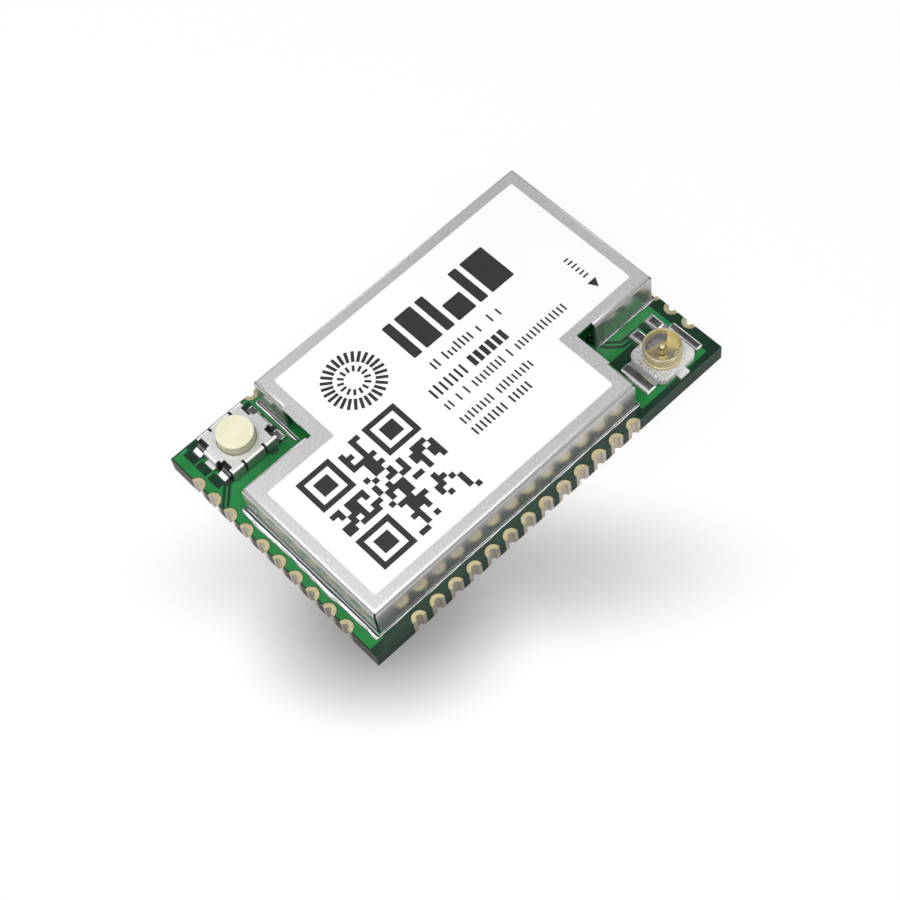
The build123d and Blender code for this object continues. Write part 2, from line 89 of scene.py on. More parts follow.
# The sharpest bend that is still shaded smoothly, in degrees
CREASE, FOLD_CREASE, SOLDER_CREASE, PIN_CREASE = 40, 34, 60, 75

# Across the bead of solder, as shares of its width and its height, and the height of its
# foot, which is sunk in the mask
BEAD = [(0.0, 0.03), (0.05, 0.6), (0.12, 0.93), (0.2, 1.0), (0.4, 0.8), (0.62, 0.55),
        (0.82, 0.3), (0.94, 0.12), (1.0, 0.0)]
BEAD_FOOT = MASK_TOP - 0.01

# Up the side of a mound of solder and over its top: the shares of its reach beyond the
# foot, of the way in to its middle, and of its height
MOUND = [(1.0, 0.0, 0.0), (0.95, 0.0, 0.3), (0.86, 0.0, 0.55), (0.76, 0.0, 0.7),
         (0.6, 0.0, 0.79), (0.4, 0.0, 0.88), (0.2, 0.0, 0.955), (0.0, 0.0, 1.0),
         (0.0, 0.25, 1.0), (0.0, 0.5, 1.0), (0.0, 0.75, 1.0), (0.0, 0.92, 1.0)]


# Small tools for meshes

def keep(name, mesh, material, body, stands_for=()):
    """Shows a finished mesh as a piece of the object, on the body that carries it."""
    mesh.materials.clear()
    mesh.materials.append(material)
    made = bpy.data.objects.new(name, mesh)
    bpy.context.scene.collection.objects.link(made)
    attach(made, body)
    if stands_for:
        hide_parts(*stands_for)
    return made


def soften(mesh, degrees):
    """Smooth shading, with a crease wherever two faces meet at more than this angle."""
    mesh.polygons.foreach_set("use_smooth", [True] * len(mesh.polygons))
    mesh.set_sharp_from_angle(angle=math.radians(degrees))


def mesh_of(name, work, degrees=None):
    """The mesh of a bmesh that was built in millimetres, with its faces pointing outwards,
    softened where an angle is given."""
    bmesh.ops.remove_doubles(work, verts=work.verts, dist=1e-5)
    bmesh.ops.recalc_face_normals(work, faces=work.faces)
    bmesh.ops.scale(work, vec=(MM, MM, MM), verts=work.verts)
    mesh = bpy.data.meshes.new(name)
    work.to_mesh(mesh)
    work.free()
    if degrees:
        soften(mesh, degrees)
    return mesh


def dressed(node, degrees, material, name=None):
    """A joined-up copy of a CAD node that is shaded smoothly over its bends."""
    body = frame["nodes"][node]["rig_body"]
    mesh = frame["nodes"][node].data.copy()
    work = bmesh.new()
    work.from_mesh(mesh)
    bmesh.ops.remove_doubles(work, verts=work.verts, dist=2e-7)
    work.to_mesh(mesh)
    work.free()
    if "custom_normal" in mesh.attributes:
        mesh.attributes.remove(mesh.attributes["custom_normal"])
    soften(mesh, degrees)
    return keep(name or node + "_dressed", mesh, material, body, [node])


def dress(node, material):
    """Gives a CAD node its finish."""
    data = frame["nodes"][node].data
    data.materials.clear()
    data.materials.append(material)


def rounded(x0, x1, y0, y1, radius, steps=5):
    """The corners and arcs of an upright rounded rectangle, anticlockwise."""
    middles = [(x1 - radius, y1 - radius), (x0 + radius, y1 - radius),
               (x0 + radius, y0 + radius), (x1 - radius, y0 + radius)]
    points = []
    for quarter, (x, y) in enumerate(middles):
        for i in range(steps + 1):
            turn = math.pi / 2 * (quarter + i / steps)
            points.append((x + radius * math.cos(turn), y + radius * math.sin(turn)))
    return points


def plate(work, outline, z):
    """A flat face over an outline, looking up."""
    work.faces.new([work.verts.new((x, y, z)) for x, y in outline])


def skin(work, rings, capped=True):
    """Faces between one ring of points and the next, and over the first and the last."""
    loops = [[work.verts.new(point) for point in ring] for ring in rings]
    count = len(loops[0])
    for low, high in zip(loops, loops[1:]):
        for i in range(count):
            j = (i + 1) % count
            work.faces.new((low[i], low[j], high[j], high[i]))
    if capped:
        work.faces.new(loops[0])
        work.faces.new(loops[-1])


def wander(rng, step, length):
    """A slow random curve between -1 and 1, as a function of the distance along a run."""
    knots = [rng.uniform(-1, 1) for _ in range(int(length / step) + 3)]

    def value(s):
        place = max(0.0, s / step)
        i = min(int(place), len(knots) - 2)
        share = min(place - i, 1)
        share = share * share * (3 - 2 * share)
        return knots[i] * (1 - share) + knots[i + 1] * share
    return value


# Small tools for materials. In a map range, inputs 1 and 2 are the range that comes in,
# and 3 and 4 the range that goes out.

def linear(colour):
    """An sRGB hex colour as the linear values that a shader takes."""
    parts = [int(colour[i:i + 2], 16) / 255 for i in (1, 3, 5)]
    return [c / 12.92 if c <= 0.04045 else ((c + 0.055) / 1.055) ** 2.4 for c in parts] + [1.0]


def add(tree, kind, inputs=None, stops=None, **settings):
    """Adds one node with its settings, and sets or links its inputs by name or by number.
    A kind that doesn't name its family is a shader node."""
    made = tree.nodes.new(kind if "Node" in kind else "ShaderNode" + kind)
    for name, value in settings.items():
        setattr(made, name, value)
    if stops:
        ramp = made.color_ramp.elements
        while len(ramp) < len(stops):
            ramp.new(0.5)
        for element, (at, colour) in zip(ramp, stops):
            element.position = at
            element.color = linear(colour)
    for key, value in (inputs or {}).items():
        named = [s for s in made.inputs if s.enabled and s.name == key]
        socket = named[0] if named else made.inputs[key]
        if isinstance(value, bpy.types.Node):
            value = next(s for s in value.outputs if s.enabled)
        if isinstance(value, bpy.types.NodeSocket):
            tree.links.new(value, socket)
        else:
            socket.default_value = linear(value) if isinstance(value, str) else value
    return made


def material(name):
    """An empty material, its node tree, and the node that gives a point's place in mm."""
    made = bpy.data.materials.new(name)
    made.use_nodes = True
    tree = made.node_tree
    tree.nodes.clear()
    coordinates = add(tree, "TexCoord")
    place = add(tree, "VectorMath",
                {0: coordinates.outputs["Object"], "Scale": 1 / MM}, operation="SCALE")
    return made, tree, place


def shaded(made, look, height=None, depth=0.0):
    """Ends a material in its shader. The relief is as deep as given, in mm."""
    tree = made.node_tree
    if height is not None:
        look = dict(look)
        look["Normal"] = add(tree, "Bump",
                             {"Height": height, "Distance": depth * MM, "Strength": 1.0})
    shader = add(tree, "BsdfPrincipled", look)
    add(tree, "OutputMaterial", {"Surface": shader})
    return made


def speckle(tree, place, size, detail=2.0, roughness=0.5, stretch=(1, 1, 1)):
    """Cloudy noise whose blotches are about this many mm across."""
    scaled = add(tree, "VectorMath", {0: place, 1: stretch}, operation="MULTIPLY")
    return add(tree, "TexNoise", {"Vector": scaled, "Scale": 0.5 / size, "Detail": detail,
                                  "Roughness": roughness})


def nearest(tree, distances):
    """The smallest of several distances."""
    least = distances[0]
    for other in distances[1:]:
        least = add(tree, "Math", {0: least, 1: other}, operation="MINIMUM")
    return least


def box_distance(tree, place, x0, x1, y0, y1):
    """How far a point lies outside a rectangle, in mm, and below nought inside it."""
    middle = ((x0 + x1) / 2, (y0 + y1) / 2, 0)
    half = ((x1 - x0) / 2, (y1 - y0) / 2, 0)
    off = add(tree, "VectorMath", {0: place, 1: middle}, operation="SUBTRACT")
    away = add(tree, "VectorMath", {0: off}, operation="ABSOLUTE")
    over = add(tree, "VectorMath", {0: away, 1: half}, operation="SUBTRACT")
    parts = add(tree, "SeparateXYZ", {0: over})
    return add(tree, "Math", {0: parts.outputs[0], 1: parts.outputs[1]}, operation="MAXIMUM")


def run_distance(tree, place, start, end):
    """How far a point lies from a straight run between two points, in mm."""
    along = Vector((end[0] - start[0], end[1] - start[1], 0))
    off = add(tree, "VectorMath", {0: place, 1: (*start, 0)}, operation="SUBTRACT")
    share = add(tree, "VectorMath",
                {0: off, 1: along / max(along.length_squared, 1e-6)}, operation="DOT_PRODUCT")
    held = add(tree, "MapRange", {0: share, 1: 0, 2: 1})
    foot = add(tree, "VectorMath", {0: along, "Scale": held}, operation="SCALE")
    return add(tree, "VectorMath", {0: off, 1: foot}, operation="DISTANCE")


def track_distance(tree, place, points):
    """How far a point lies from a copper track, in mm."""
    return nearest(tree, [run_distance(tree, place, a, b) for a, b in zip(points, points[1:])])


def pad_rows():
    """For each row of pads: the axis it runs along, its count, pitch, first pad and edge."""
    rows = []
    for node, count, axis, edge in (("pads_front_row", 13, 0, BOARD[2]),
                                    ("pads_back_row", 13, 0, BOARD[3]),
                                    ("pads_left_row", 10, 1, BOARD[0]),
                                    ("pads_right_row", 10, 1, BOARD[1])):
        low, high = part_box(node)
        first, last = low[axis] / MM + RING, high[axis] / MM - RING
        rows.append((axis, count, (last - first) / (count - 1), first, edge))
    return rows


def row_distance(tree, place, row, reach=0.0):
    """How far a point lies from the nearest pad centre of a row, or from its inward run."""
    axis, count, pitch, first, edge = row
    parts = add(tree, "SeparateXYZ", {0: place})
    along, across = parts.outputs[axis], parts.outputs[1 - axis]
    turn = add(tree, "Math", {0: along, 1: 1 / pitch, 2: -first / pitch},
               operation="MULTIPLY_ADD")
    whole = add(tree, "Math", {0: turn}, operation="ROUND")
    held = add(tree, "Clamp", {"Value": whole, "Min": 0, "Max": count - 1})
    centre = add(tree, "Math", {0: held, 1: pitch, 2: first}, operation="MULTIPLY_ADD")
    side = add(tree, "Math", {0: along, 1: centre}, operation="SUBTRACT")
    off = add(tree, "Math", {0: across, 1: edge}, operation="SUBTRACT")
    off = add(tree, "Math", {0: off}, operation="ABSOLUTE")
    off = add(tree, "Math", {0: off, 1: reach}, operation="SUBTRACT")
    off = add(tree, "Math", {0: off, 1: 0}, operation="MAXIMUM")
    flat = add(tree, "CombineXYZ", {0: side, 1: off})
    return add(tree, "VectorMath", {0: flat}, operation="LENGTH")


def flattened(tree, place):
    """A point's place with its height left out."""
    return add(tree, "VectorMath", {0: place, 1: (1, 1, 0)}, operation="MULTIPLY")


def facing(tree):
    """The X, Y and Z parts of the direction that a point's face looks in."""
    surface = add(tree, "NewGeometry")
    return add(tree, "SeparateXYZ", {0: surface.outputs["Normal"]}).outputs


def grained(name, grain, stops, rough, depth, **look):
    """A finish that one fine noise colours, roughens and gives its relief. The grain is the
    noise's size in mm, its detail and, where they matter, its roughness and its stretch."""
    made, tree, place = material(name)
    noise = speckle(tree, place, *grain)
    look["Base Color"] = add(tree, "ValToRGB", {0: noise}, stops=stops)
    look["Roughness"] = add(tree, "MapRange",
                            {0: noise, 1: 0.3, 2: 0.7, 3: rough[0], 4: rough[1]})
    return shaded(made, look, noise, depth)


# The materials of the board

def solder_mask(name, dark_boxes, tracks, vias, reach):
    """Green solder mask, sprayed and cured: glossy, bright over copper and dark where only
    the laminate lies under it, or where a box is painted dark as shade, with a soft step at
    every edge of the copper."""
    made, tree, place = material(name)
    flat = flattened(tree, place)
    gaps = [box_distance(tree, flat, *box) for box in dark_boxes]
    for row in pad_rows():
        pads = row_distance(tree, flat, row, reach)
        gaps.append(add(tree, "Math", {0: pads, 1: RING + 0.02}, operation="SUBTRACT"))
    for points, half, gap in tracks:
        line = track_distance(tree, flat, points)
        ring = add(tree, "Math", {0: line, 1: half + gap / 2}, operation="SUBTRACT")
        ring = add(tree, "Math", {0: ring}, operation="ABSOLUTE")
        gaps.append(add(tree, "Math", {0: ring, 1: gap / 2}, operation="SUBTRACT"))
    clear = nearest(tree, gaps)
    copper = add(tree, "MapRange", {0: clear, 1: -0.01, 2: 0.035})
    holes = []
    for x, y, radius in vias:
        off = run_distance(tree, flat, (x, y), (x, y))
        holes.append(add(tree, "Math", {0: off, 1: radius}, operation="SUBTRACT"))
    tented = add(tree, "MapRange", {0: nearest(tree, holes), 1: -0.03, 2: 0.03})
    cloud = speckle(tree, place, 0.8, 3)
    bright = add(tree, "ValToRGB", {0: cloud},
                 stops=[(0.3, "#23803F"), (0.55, "#2A8A49"), (0.75, "#359353")])
    dark = add(tree, "ValToRGB", {0: cloud}, stops=[(0.3, "#1A3427"), (0.7, "#22422F")])
    base = add(tree, "Mix", {"Factor": copper, "A": dark, "B": bright}, data_type="RGBA")
    seen = add(tree, "Mix", {"Factor": tented, "A": "#1F4C34", "B": base}, data_type="RGBA")
    height = add(tree, "Math", {0: copper, 1: tented}, operation="MINIMUM")
    dust = speckle(tree, place, 0.05, 4, 0.7)
    fine = add(tree, "Math", {0: dust, 1: 0.06, 2: height}, operation="MULTIPLY_ADD")
    gloss = add(tree, "MapRange", {0: dust, 1: 0.3, 2: 0.7, 3: 0.17, 4: 0.27})
    return shaded(made, {"Base Color": seen, "Roughness": gloss, "IOR": 1.4}, fine, 0.03)


def top_mask():
    """The mask on the upper face, with the copper that shows round the can, and a painted shade
    under the switch.
    """
    sx, sy = SWITCH
    cx = SOCKET[0]
    dark_boxes = [
        (-20, -10.5, -20, -7.03), (-10.55, 6.3, -20, -6.82), (6.3, 20, -20, -7.15),
        (10.82, 20, -20, 20), (-20, -11.43, -20, 20), (-20, 20, 7.44, 20),
        (-10.92, -10.5, 6.41, 7.23), (-10.59, -9.91, 7.03, 7.47),
        (-10.92, -10.5, 5.5, 6.3), (-10.92, -10.5, 4.53, 5.35), (-10.5, -9.95, 4.31, 4.6),
        # the box under the switch is painted shade, not bare laminate
        (sx + 1.4, -6.72, 4.25, 7.2), (sx - 1.62, sx + 1.5, sy - 1.36, sy + 1.36),
        (cx - 1.99, cx - 0.35, -4.85, -4.2), (9.55, 9.87, -4.6, -3.7),
        (8.62, 9.4, -3.85, -3.7),
    ]
    tracks = [
        ([(-10.42, 4.42), (-11.3, 3.53)], 0.06, 0.12),
        ([(8.75, -3.9), (8.29, -3.87), (8.03, -3.62), (7.73, -3.35), (7.62, -3.12),
          (7.4, -2.5)], 0.075, 0.13),
    ]
    vias = [(-7.64, 4.2, 0.25), (9.7, -4.0, 0.06), (9.7, -4.25, 0.06)]
    return solder_mask("green_solder_mask_over_copper", dark_boxes, tracks, vias, 0.0)


def under_mask():
    """The mask on the underside: a ground pour with a few routed tracks."""
    dark_boxes = [(-20, 20, -20, -7.3), (-20, 20, 7.3, 20), (-20, -11.3, -20, 20),
            (11.3, 20, -20, 20)]
    tracks = [(points, 0.06, 0.12) for points in (
        [(-11.3, -4.16), (-7.5, -4.16), (-5.2, -1.9), (-5.2, 3.1)],
        [(-11.3, -2.96), (-8.1, -2.96), (-6.1, -0.96), (-6.1, 2.2)],
        [(-4.05, -7.3), (-4.05, -4.4), (0.4, 0.05), (4.6, 0.05)],
        [(1.85, -7.3), (1.85, -3.2), (3.9, -1.15), (6.2, -1.15)],
        [(11.3, 1.84), (8.0, 1.84), (6.1, 3.7), (2.2, 3.7)],
        [(-1.63, 7.3), (-1.63, 5.1), (1.3, 2.2)],
    )]
    rng = random.Random(11)
    vias = [(round(rng.uniform(-9.8, 9.8), 1), round(rng.uniform(-5.8, 5.8), 1), 0.16)
            for _ in range(26)]
    return solder_mask("green_solder_mask_underside", dark_boxes, tracks, vias, 0.45)


def board_edge():
    """Routed glass-fibre laminate: fine fibre layers, dull, brown grey on the short sides and
    green black on the long ones, with thin plating beside every half hole."""
    made, tree, place = material("routed_glass_fibre_laminate")
    layers = speckle(tree, place, 0.05, 4, 0.65, (0.25, 0.25, 3.5))
    long_side = add(tree, "ValToRGB", {0: layers},
                    stops=[(0.32, "#1E3227"), (0.55, "#294133"), (0.75, "#405747")])
    short_side = add(tree, "ValToRGB", {0: layers},
                     stops=[(0.32, "#3E3C38"), (0.55, "#625F58"), (0.75, "#8B8A7C")])
    across = add(tree, "Math", {0: facing(tree)["X"]}, operation="ABSOLUTE")
    body = add(tree, "Mix", {"Factor": across, "A": long_side, "B": short_side},
               data_type="RGBA")
    flat = flattened(tree, place)
    pads = nearest(tree, [row_distance(tree, flat, row) for row in pad_rows()])
    plated = add(tree, "MapRange", {0: pads, 1: RING - 0.02, 2: RING + 0.01, 3: 1.0, 4: 0.0})
    grime = speckle(tree, place, 0.12, 3)
    metal = add(tree, "ValToRGB", {0: grime}, stops=[(0.3, "#B5AD9B"), (0.7, "#D2CCBE")])
    colour = add(tree, "Mix", {"Factor": plated, "A": body, "B": metal}, data_type="RGBA")
    dull = add(tree, "MapRange", {0: plated, 1: 0, 2: 1, 3: 0.72, 4: 0.38})
    shine = add(tree, "MapRange", {0: plated, 1: 0, 2: 1, 3: 0, 4: 0.6})
    return shaded(made, {"Base Color": colour, "Metallic": shine, "Roughness": dull},
                  layers, 0.012)


def pad_gold():
    """Gold flashed over nickel and copper: pale, satin, and browner inside the half holes."""
    made, tree, place = material("gold_flash_on_copper")
    fine = speckle(tree, place, 0.07, 3, 0.6)
    land = add(tree, "ValToRGB", {0: fine},
               stops=[(0.25, "#C3B78C"), (0.5, "#D6CAA0"), (0.75, "#E3DAB8")])
    barrel = add(tree, "ValToRGB", {0: fine}, stops=[(0.25, "#B9AF9E"), (0.75, "#D8D0C2")])
    level = add(tree, "Math", {0: facing(tree)["Z"]}, operation="ABSOLUTE")
    colour = add(tree, "Mix", {"Factor": level, "A": barrel, "B": land}, data_type="RGBA")
    rough = add(tree, "MapRange", {0: fine, 1: 0.3, 2: 0.7, 3: 0.34, 4: 0.48})
    return shaded(made, {"Base Color": colour, "Metallic": 0.75, "Roughness": rough},
                  fine, 0.006)


# The materials of the can and its label

def nickel_silver():
    """Nickel silver sheet, cold rolled: a satin grey with a very fine grain on its flat top,
    and smoother, faintly streaked walls in a darker grey, a painted shade. The grain is
    drawn at 0.05 mm, coarser than the real one, so that it shows."""
    made, tree, place = material("nickel_silver_sheet")
    grain = speckle(tree, place, 0.03, 1, 0.5)
    fleck = speckle(tree, place, 0.055, 2, 0.6)
    cloud = speckle(tree, place, 1.6, 2)
    both = add(tree, "Math", {0: grain, 1: 0.6, 2: fleck}, operation="MULTIPLY_ADD")
    colour = add(tree, "ValToRGB", {0: cloud}, stops=[(0.3, "#F1F1F1"), (0.7, "#F7F7F6")])
    upward = add(tree, "MapRange", {0: facing(tree)["Z"], 1: 0.96, 2: 0.998})
    worn = add(tree, "MapRange", {0: both, 1: 0.62, 2: 0.98})
    worn = add(tree, "Math", {0: worn, 1: upward}, operation="MULTIPLY")
    toned = add(tree, "Mix", {"Factor": worn, "A": colour, "B": "#E3E3E2"}, data_type="RGBA")
    # the walls get a darker grey than the top: a painted shade
    toned = add(tree, "Mix", {"Factor": upward, "A": "#C6C6C4", "B": toned}, data_type="RGBA")
    streaks = speckle(tree, place, 0.3, 2, 0.5, (1, 1, 0.12))
    drawn = add(tree, "MapRange", {0: streaks, 1: 0.3, 2: 0.7, 3: 0.21, 4: 0.31})
    rough = add(tree, "Mix", {"Factor": upward, "A": drawn, "B": 0.42})
    relief = add(tree, "Math", {0: both, 1: upward}, operation="MULTIPLY")
    return shaded(made, {"Base Color": toned, "Metallic": 0.85, "Roughness": rough},
                  relief, 0.0004)


def bright_solder():
    """Reflowed solder: a bright, wet-looking white metal with faint frosty patches. Where it
    lies thinnest, at its edges and in the low strip by the can's walls, it is painted dark
    green as painted shade."""
    made, tree, place = material("reflowed_solder")
    frost = speckle(tree, place, 0.25, 3)
    ripple = speckle(tree, place, 0.3, 2)
    bright = add(tree, "ValToRGB", {0: frost}, stops=[(0.3, "#DDE0DE"), (0.7, "#F1F3F1")])
    parts = add(tree, "SeparateXYZ", {0: place})
    thick = add(tree, "MapRange",
                {0: parts.outputs["Z"], 1: MASK_TOP + 0.01, 2: MASK_TOP + 0.024})
    # low, thin solder takes a dark green: a painted shade at its edges and at the walls' foot
    colour = add(tree, "Mix", {"Factor": thick, "A": "#26382C", "B": bright}, data_type="RGBA")
    rough = add(tree, "MapRange", {0: frost, 1: 0.35, 2: 0.7, 3: 0.12, 4: 0.22})
    return shaded(made, {"Base Color": colour, "Metallic": thick, "Roughness": rough},
                  ripple, 0.002)


def label_film():
    """White printable film: matt, nearly even, with a faint paper-like tooth."""
    made, tree, place = material("white_label_film")
    tooth = speckle(tree, place, 0.05, 4, 0.7)
    cloud = speckle(tree, place, 2.5, 2)
    colour = add(tree, "ValToRGB", {0: cloud}, stops=[(0.3, "#FBFBFA"), (0.7, "#FDFDFD")])
    rough = add(tree, "MapRange", {0: tooth, 1: 0.3, 2: 0.7, 3: 0.5, 4: 0.62})
    return shaded(made, {"Base Color": colour, "Roughness": rough, "IOR": 1.47}, tooth, 0.002)


def label_ink():
    """Thermal transfer ink: dark grey, slightly glossier than the film, with tiny voids."""
    stops = [(0.3, "#232324"), (0.62, "#2C2C2D"), (0.85, "#3E3E3F")]
    return grained("transfer_printed_ink", (0.04, 3, 0.7), stops, (0.38, 0.55), 0.001)


# The materials of the switch

def stamped_cover():
    """Plated steel strip, stamped: pale and satin, with a fine mottle from the tool, and
    sides painted a darker grey than the top as painted shade.
    """
    made, tree, place = material("plated_steel_strip")
    mottle = speckle(tree, place, 0.05, 2, 0.6)
    colour = add(tree, "ValToRGB", {0: mottle},
                 stops=[(0.3, "#EDEDEC"), (0.5, "#F4F4F3"), (0.72, "#F9F9F8")])
    rise = facing(tree)["Z"]
    upward = add(tree, "MapRange", {0: rise, 1: 0.2, 2: 0.6})
    # the sides get a darker grey than the top: a painted shade
    toned = add(tree, "Mix", {"Factor": upward, "A": "#A9ABA8", "B": colour}, data_type="RGBA")
    rough = add(tree, "MapRange", {0: rise, 1: 0.95, 2: 0.998, 3: 0.22, 4: 0.42})
    return shaded(made, {"Base Color": toned, "Metallic": 0.78, "Roughness": rough},
                  mottle, 0.0008)


def switch_legs():
    """Tinned copper alloy legs: bright and smooth where the solder wetted them."""
    return grained("tinned_switch_leg", (0.15, 3), [(0.3, "#8E8F8E"), (0.7, "#B4B5B4")],
                   (0.24, 0.36), 0.004, Metallic=1.0)


def black_nylon():
    """Glass-filled nylon, moulded: black and dull, with a fine fibre texture."""
    return grained("black_filled_nylon", (0.04, 4, 0.7), [(0.3, "#111113"), (0.7, "#232325")],
                   (0.45, 0.65), 0.006)


def button_cream():
    """Natural polyamide, moulded: a cream, waxy top, and grainy sides, painted darker than the
    top as painted shade.
    """
    made, tree, place = material("cream_polyamide")
    cloud = speckle(tree, place, 0.35, 3)
    tooth = speckle(tree, place, 0.05, 3, 0.6)
    top = add(tree, "ValToRGB", {0: cloud},
              stops=[(0.3, "#E6E2BF"), (0.52, "#EBE8CB"), (0.75, "#EFECD5")])
    # the sides' darker cream is a painted shade; their grain is the moulding's own
    side = add(tree, "ValToRGB", {0: tooth},
               stops=[(0.3, "#B2AF96"), (0.5, "#C6C2A6"), (0.7, "#D3CFB4")])
    upward = add(tree, "MapRange", {0: facing(tree)["Z"], 1: 0.35, 2: 0.8})
    colour = add(tree, "Mix", {"Factor": upward, "A": side, "B": top}, data_type="RGBA")
    rough = add(tree, "MapRange", {0: tooth, 1: 0.3, 2: 0.7, 3: 0.42, 4: 0.58})
    return shaded(made, {"Base Color": colour, "IOR": 1.5, "Roughness": rough}, tooth, 0.003)


def spring_steel():
    """Stainless spring strip for the snap dome: bright with faint rolling lines."""
    return grained("stainless_spring_strip", (0.05, 3, 0.6, (0.1, 1, 1)),
                   [(0.3, "#B2B3B3"), (0.7, "#CBCCCC")], (0.2, 0.34), 0.002, Metallic=1.0)


def plated_contact():
    """Silver plated brass under the snap dome, slightly tarnished."""
    return grained("plated_brass_contact", (0.2, 3), [(0.3, "#C2B07A"), (0.7, "#E0D3A4")],
                   (0.25, 0.4), 0.002, Metallic=1.0)


# The materials of the socket

def socket_moulding():
    """Liquid crystal polymer, moulded: pale grey with fine dark specks, denser to the left."""
    made, tree, place = material("pale_liquid_crystal_polymer")
    specks = speckle(tree, place, 0.028, 2, 0.7)
    flow = speckle(tree, place, 0.5, 2)
    parts = add(tree, "SeparateXYZ", {0: place})
    leftward = add(tree, "MapRange",
                   {0: parts.outputs["X"], 1: SOCKET[0] - 1.3, 2: SOCKET[0] + 0.3,
                    3: 1.0, 4: 0.12})
    dots = add(tree, "MapRange", {0: specks, 1: 0.42, 2: 0.62})
    amount = add(tree, "Math", {0: dots, 1: leftward}, operation="MULTIPLY")
    pale = add(tree, "ValToRGB", {0: flow}, stops=[(0.3, "#E8E7E6"), (0.7, "#F0EFEE")])
    outside = add(tree, "Mix", {"Factor": amount, "A": pale, "B": "#6D6A70"}, data_type="RGBA")
    inside = add(tree, "Mix", {"Factor": dots, "A": "#B3AEB4", "B": "#5E5963"},
                 data_type="RGBA")
    away = run_distance(tree, flattened(tree, place), SOCKET, SOCKET)
    high = add(tree, "MapRange",
               {0: parts.outputs["Z"], 1: MASK_TOP + 0.44, 2: MASK_TOP + 0.47})
    held = add(tree, "MapRange", {0: away, 1: 0.9, 2: 0.93, 3: 1.0, 4: 0.0})
    raised = add(tree, "Math", {0: high, 1: held}, operation="MULTIPLY")
    colour = add(tree, "Mix", {"Factor": raised, "A": outside, "B": inside}, data_type="RGBA")
    return shaded(made, {"Base Color": colour, "Roughness": 0.5, "IOR": 1.55}, specks, 0.004)


def gold_and_tin(name):
    """A stamped contact: gold over nickel on the barrel, tinned on the tabs below it."""
    made, tree, place = material(name)
    parts = add(tree, "SeparateXYZ", {0: place})
    upper = add(tree, "MapRange",
                {0: parts.outputs["Z"], 1: MASK_TOP + 0.24, 2: MASK_TOP + 0.3})
    wear = speckle(tree, place, 0.18, 3)
    fine = speckle(tree, place, 0.03, 3, 0.7)
    gold = add(tree, "ValToRGB", {0: wear},
               stops=[(0.3, "#CFC296"), (0.55, "#DACFA9"), (0.8, "#E6DEC0")])
    tin = add(tree, "ValToRGB", {0: wear}, stops=[(0.3, "#BFBFC0"), (0.7, "#D9D9DA")])
    colour = add(tree, "Mix", {"Factor": upper, "A": tin, "B": gold}, data_type="RGBA")
    rough = add(tree, "MapRange", {0: fine, 1: 0.3, 2: 0.7, 3: 0.3, 4: 0.42})
    return shaded(made, {"Base Color": colour, "Metallic": 1.0, "Roughness": rough},
                  fine, 0.001)


# The materials of the parts under the can

def chip_moulding():
    """Epoxy chip moulding: near black, matt, finely pitted."""
    return grained("epoxy_chip_moulding", (0.04, 4, 0.7), [(0.3, "#1B1D1F"), (0.7, "#2B2D30")],
                   (0.5, 0.7), 0.005)


def crystal_lid():
    """Seam-welded nickel plated lids on ceramic: a soft grey shine."""
    return grained("nickel_plated_lid", (0.05, 3, 0.6, (0.15, 1, 1)),
                   [(0.3, "#BFC0C0"), (0.7, "#D3D4D4")], (0.28, 0.42), 0.002, Metallic=1.0)


def ferrite():
    """Pressed and fired ferrite: charcoal, matt, slightly grainy."""
    return grained("fired_ferrite", (0.05, 4, 0.7), [(0.3, "#303032"), (0.7, "#47474A")],
                   (0.6, 0.8), 0.006)


def small_parts(name, node, axis, dark, pale):
    """A row of small ceramic parts: fired bodies with tinned ends at each side."""
    made, tree, place = material(name)
    low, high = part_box(node)
    middle = (low[axis] + high[axis]) / 2 / MM
    parts = add(tree, "SeparateXYZ", {0: place})
    off = add(tree, "Math", {0: parts.outputs[axis], 1: middle}, operation="SUBTRACT")
    off = add(tree, "Math", {0: off}, operation="ABSOLUTE")
    end = add(tree, "MapRange", {0: off, 1: 0.27, 2: 0.29})
    grain = speckle(tree, place, 0.06, 3)
    fired = add(tree, "ValToRGB", {0: grain}, stops=[(0.3, dark), (0.7, pale)])
    tin = add(tree, "ValToRGB", {0: grain}, stops=[(0.3, "#C4C6C6"), (0.7, "#DCDEDE")])
    colour = add(tree, "Mix", {"Factor": end, "A": fired, "B": tin}, data_type="RGBA")
    rough = add(tree, "MapRange", {0: grain, 1: 0.3, 2: 0.7, 3: 0.3, 4: 0.45})
    return shaded(made, {"Base Color": colour, "Metallic": end, "Roughness": rough},
                  grain, 0.004)


# Solder

def bead_stations(points):
    """Points along the foot of the walls, each with its outward direction and its distance
    from the start."""
    stations, travelled = [], 0.0
    runs = list(zip(points, points[1:]))
    for number, (a, b) in enumerate(runs):
        a, b = Vector(a), Vector(b)
        along = b - a
        out = Vector((along.y, -along.x)).normalized()
        count = max(2, int(along.length / 0.09))
        for i in range(count + 1):
            stations.append((a + along * i / count, out, travelled + along.length * i / count))
        travelled += along.length
        if number + 1 < len(runs):
            onward = Vector(runs[number + 1][1]) - Vector(runs[number + 1][0])
            turned = Vector((onward.y, -onward.x)).normalized()
            for i in range(1, 8):
                stations.append((b, out.lerp(turned, i / 8).normalized(), travelled))
    return stations


